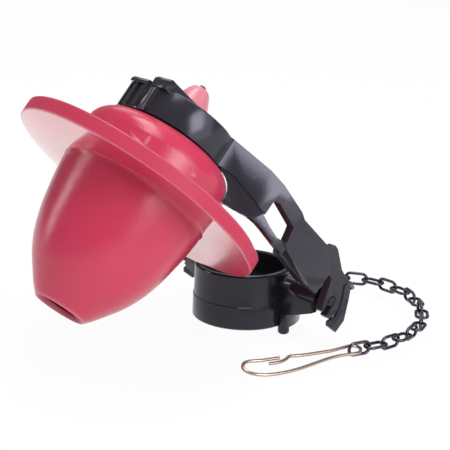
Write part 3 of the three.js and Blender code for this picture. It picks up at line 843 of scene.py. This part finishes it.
# %% Move and mark the stopper's points
painted_light_amount, polish = [], []
for v in stopper_mesh.vertices:
    p = level(v.co)
    r = math.hypot(p.x, p.y)
    turn_deg = math.degrees(math.atan2(p.y, p.x))
    outward = Vector((p.x / r, p.y / r, 0)) if r > 1e-6 else Vector((0, 0, 0))
    on_dome_side = abs(r - DOME_R) < 0.2 and DISC_TOP + 0.3 < p.z < DOME_TOP - 6
    lift = mould_marks(turn_deg, p.z) if on_dome_side else 0.0
    painted_light_amount.append(painted_light_at(r, p.z, lift))
    polish.append(polish_at(turn_deg, r))
    p += outward * lift
    if r > SOFT_FROM_R:
        rise, creep = disc_set(turn_deg, r)
        p += outward * creep + Vector((0, 0, rise))
    v.co = AXIS_FOOT + LEAN @ p * MM
for label, values in (("painted_light", painted_light_amount), ("polish", polish)):
    stopper_mesh.attributes.new(label, "FLOAT", "POINT").data.foreach_set("value", values)
stopper_mesh.set_sharp_from_angle(angle=math.radians(40))
stopper_mesh.update()
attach(stopper, "flapper")
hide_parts("flapper_stopper")
print("points", len(painted_light_amount), "greatest thinness", round(max(painted_light_amount), 2))

# %% [markdown]
# ## Black frame and collar
# Both are injection mouldings whose shape is already right in the CAD model, but its edges are knife sharp.
# A real moulding has small rounds, and they catch the light as thin bright lines.
# So a copy of each solid is welded, its flat faces are joined up, and a narrow bevel rounds its edges.

# %% Round the edges of a copy of a CAD solid
WELD = 0.00001
FLAT_WITHIN = math.radians(0.8)
ROUND_FROM = math.radians(28)
SHARP_FROM = math.radians(26)


def softened(node_name, piece_name, width_mm, body, material):
    """A welded copy of a CAD solid with rounded edges and smooth curved faces."""
    mesh = nodes[node_name].data.copy()
    mesh.name = piece_name
    work = bmesh.new()
    work.from_mesh(mesh)
    bmesh.ops.remove_doubles(work, verts=work.verts, dist=WELD)
    bmesh.ops.dissolve_limit(work, angle_limit=FLAT_WITHIN, verts=work.verts, edges=work.edges)
    bmesh.ops.dissolve_degenerate(work, dist=WELD, edges=work.edges)
    bmesh.ops.recalc_face_normals(work, faces=work.faces)
    work.to_mesh(mesh)
    work.free()
    mesh.materials.clear()
    mesh.materials.append(material)
    piece = linked_object(piece_name, mesh)
    bevel = piece.modifiers.new("edge_round", "BEVEL")
    bevel.width = width_mm * MM
    bevel.segments = 2
    bevel.limit_method = "ANGLE"
    bevel.angle_limit = ROUND_FROM
    rounded = keep_result(piece, bevel)
    for face in rounded.polygons:
        face.use_smooth = True
    rounded.set_sharp_from_angle(angle=SHARP_FROM)
    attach(piece, body)
    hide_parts(node_name)
    return piece


arms = softened("flapper_frame", "forked_frame", 0.28, "flapper", frame_black_painted_sheen)
ring = softened("overflow_collar", "tube_collar", 0.22, "collar", collar_black)
print("frame faces", len(arms.data.polygons), "collar faces", len(ring.data.polygons))

# %% [markdown]
# ## Chain
# The chain is one link repeated, each turned a quarter about the chain's line, so instances suit it.
# The CAD model says where each link is: its middle, the way it runs and the way its flat side faces.
# The longest and the shortest spread of a link's points give those two ways.

# %% Where each link is
link_names = sorted(n for n in nodes if n.startswith("chain_link"))
middles, alongs, flats = [], [], []
for name in link_names:
    spots = np.array([v.co for v in nodes[name].data.vertices], float)
    spots = np.unique(spots.round(7), axis=0)
    middle = spots.mean(0)
    spreads = np.linalg.svd(spots - middle, full_matrices=False)[2]
    middles.append(middle)
    alongs.append(spreads[0])
    flats.append(spreads[2])
print("links", len(link_names))

# %% [markdown]
# A link could be a bent cylinder, but a wire that follows a line is simpler as a curve with a round profile.
# The tree makes one link from a rounded rectangle and a circle, and sets it on every point, turned to match.

# %% Geometry Nodes tree for the chain
chain_tree, c_in, c_out = node_group(
    "chain_of_links",
    "GeometryNodeTree",
    {
        "Geometry": "Geometry",
        "Link Length": "Float",
        "Link Width": "Float",
        "Wire": "Float",
        "Material": "Material",
    },
    {"Geometry": "Geometry"},
)
wire = c_in.outputs["Wire"]
mid_length = math_node(chain_tree, "SUBTRACT", c_in.outputs["Link Length"], wire)
mid_width = math_node(chain_tree, "SUBTRACT", c_in.outputs["Link Width"], wire)
outline = add_node(chain_tree, "GeometryNodeCurvePrimitiveQuadrilateral", mode="RECTANGLE")
fillet = add_node(chain_tree, "GeometryNodeFilletCurve", mode="POLY", in_Count=10, in_Limit_Radius=True)
wire_ring = add_node(chain_tree, "GeometryNodeCurvePrimitiveCircle", in_Resolution=14)
tube = add_node(chain_tree, "GeometryNodeCurveToMesh")
link_gloss = add_node(chain_tree, "GeometryNodeSetShadeSmooth")
run_way, flat_way = (
    add_node(chain_tree, "GeometryNodeInputNamedAttribute", data_type="FLOAT_VECTOR", in_Name=label)
    for label in ("along", "flat")
)
axes = add_node(chain_tree, "FunctionNodeAxesToRotation", primary_axis="X", secondary_axis="Z")
repeat = add_node(chain_tree, "GeometryNodeInstanceOnPoints")
link_realize = add_node(chain_tree, "GeometryNodeRealizeInstances")
link_paint = add_node(chain_tree, "GeometryNodeSetMaterial")
join(
    chain_tree,
    (mid_length, outline.inputs["Width"]),
    (mid_width, outline.inputs["Height"]),
    (outline.outputs["Curve"], fillet.inputs["Curve"]),
    (math_node(chain_tree, "MULTIPLY", mid_width, 0.499), fillet.inputs["Radius"]),
    (math_node(chain_tree, "MULTIPLY", wire, 0.5), wire_ring.inputs["Radius"]),
    (fillet.outputs["Curve"], tube.inputs["Curve"]),
    (wire_ring.outputs["Curve"], tube.inputs["Profile Curve"]),
    (tube.outputs["Mesh"], link_gloss.inputs["Geometry"]),
    (run_way.outputs["Attribute"], axes.inputs["Primary Axis"]),
    (flat_way.outputs["Attribute"], axes.inputs["Secondary Axis"]),
    (c_in.outputs["Geometry"], repeat.inputs["Points"]),
    (link_gloss.outputs["Geometry"], repeat.inputs["Instance"]),
    (axes.outputs["Rotation"], repeat.inputs["Rotation"]),
    (repeat.outputs["Instances"], link_realize.inputs["Geometry"]),
    (link_realize.outputs["Geometry"], link_paint.inputs["Geometry"]),
    (c_in.outputs["Material"], link_paint.inputs["Material"]),
    (link_paint.outputs["Geometry"], c_out.inputs["Geometry"]),
)
print("tree", chain_tree.name, "with", len(chain_tree.nodes), "nodes")

# %% Make the chain
LINK_LENGTH = 9.08
LINK_WIDTH = 5.08
LINK_WIRE = 1.10
chain = points_object("lift_chain", middles, attributes={"along": alongs, "flat": flats})
chain_mesh = run_tree(
    chain,
    chain_tree,
    {
        "Link Length": LINK_LENGTH * MM,
        "Link Width": LINK_WIDTH * MM,
        "Wire": LINK_WIRE * MM,
        "Material": chain_dark,
    },
)
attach(chain, "chain")
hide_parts(*link_names)
print("chain faces", len(chain_mesh.polygons))

# %% [markdown]
# ## Snap hook
# The hook is one bent brass wire: a latch, an upper leg, an eye round the last link, a lower leg and a nose.
# Its line is drawn flat, along and across the hook, and then set into the plane in which the hook lies.
# A smooth curve through few points is easier to correct than a mesh, and Geometry Nodes sweep it.

# %% Line of the hook
EYE_AT = Vector((0.60, -52.35, 2.75))
NOSE_AT = Vector((-38.7, -41.7, 3.2))
HOOK_TILT = math.radians(25)
HOOK_WIRE = 1.12
latch = [
    (31.6, -1.1), (29.4, -1.1), (27.2, -0.9), (25.2, -0.2), (23.6, 0.7), (21.5, 0.7), (18.4, 0.5),
]
upper_leg = [(11.6, 0.6), (8.0, 0.7), (4.8, 1.1)]
eye = [
    (2.4, 1.5), (0.2, 1.7), (-1.8, 1.25), (-2.75, 0.0), (-1.8, -1.45), (0.2, -1.9), (2.4, -1.85),
]
lower_leg = [
    (6.1, -1.9), (9.8, -2.3), (13.4, -3.0), (17.1, -3.8), (20.8, -4.6), (24.3, -5.2), (27.8, -5.6),
    (31.1, -5.7), (34.3, -5.6),
]
nose = [
    (36.5, -5.2), (38.6, -4.5), (40.3, -3.4), (41.1, -2.1), (41.0, -0.8), (39.9, 0.5), (38.1, 1.0),
    (36.0, 0.9), (33.8, 0.7), (30.6, 0.7), (27.1, 0.7),
]
hook_line = [*latch, *upper_leg, *eye, *lower_leg, *nose]
hook_along = (NOSE_AT - EYE_AT).normalized()
hook_level = Vector((0, 0, 1)).cross(hook_along).normalized()
hook_raised = hook_along.cross(hook_level)
hook_across = -hook_level * math.cos(HOOK_TILT) + hook_raised * math.sin(HOOK_TILT)
hook_points = [
    (EYE_AT + hook_along * float(s) + hook_across * float(t)) * MM for s, t in smooth_run(hook_line, 6)
]

# %% Geometry Nodes tree that sweeps round wire
wire_tree, w_in, w_out = node_group(
    "round_wire",
    "GeometryNodeTree",
    {"Geometry": "Geometry", "Wire": "Float", "Material": "Material"},
    {"Geometry": "Geometry"},
)
to_curve = add_node(wire_tree, "GeometryNodeMeshToCurve")
wire_section = add_node(wire_tree, "GeometryNodeCurvePrimitiveCircle", in_Resolution=18)
sweep = add_node(wire_tree, "GeometryNodeCurveToMesh", in_Fill_Caps=True)
wire_gloss = add_node(wire_tree, "GeometryNodeSetShadeSmooth")
wire_realize = add_node(wire_tree, "GeometryNodeRealizeInstances")
wire_paint = add_node(wire_tree, "GeometryNodeSetMaterial")
join(
    wire_tree,
    (w_in.outputs["Geometry"], to_curve.inputs["Mesh"]),
    (math_node(wire_tree, "MULTIPLY", w_in.outputs["Wire"], 0.5), wire_section.inputs["Radius"]),
    (to_curve.outputs["Curve"], sweep.inputs["Curve"]),
    (wire_section.outputs["Curve"], sweep.inputs["Profile Curve"]),
    (sweep.outputs["Mesh"], wire_gloss.inputs["Geometry"]),
    (wire_gloss.outputs["Geometry"], wire_realize.inputs["Geometry"]),
    (wire_realize.outputs["Geometry"], wire_paint.inputs["Geometry"]),
    (w_in.outputs["Material"], wire_paint.inputs["Material"]),
    (wire_paint.outputs["Geometry"], w_out.inputs["Geometry"]),
)
print("tree", wire_tree.name, "with", len(wire_tree.nodes), "nodes")

# %% Make the hook
hook = points_object("brass_hook", hook_points, [(i, i + 1) for i in range(len(hook_points) - 1)])
hook_mesh = run_tree(hook, wire_tree, {"Wire": HOOK_WIRE * MM, "Material": brass_pale})
hook_mesh.set_sharp_from_angle(angle=math.radians(45))
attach(hook, "clip")
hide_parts("snap_hook")
print("hook faces", len(hook_mesh.polygons))

# %% [markdown]
# ## Finish
# The colour management stays plain, so that a colour renders about as it is written.

# %% Finish
bpy.context.scene.view_settings.view_transform = "Standard"
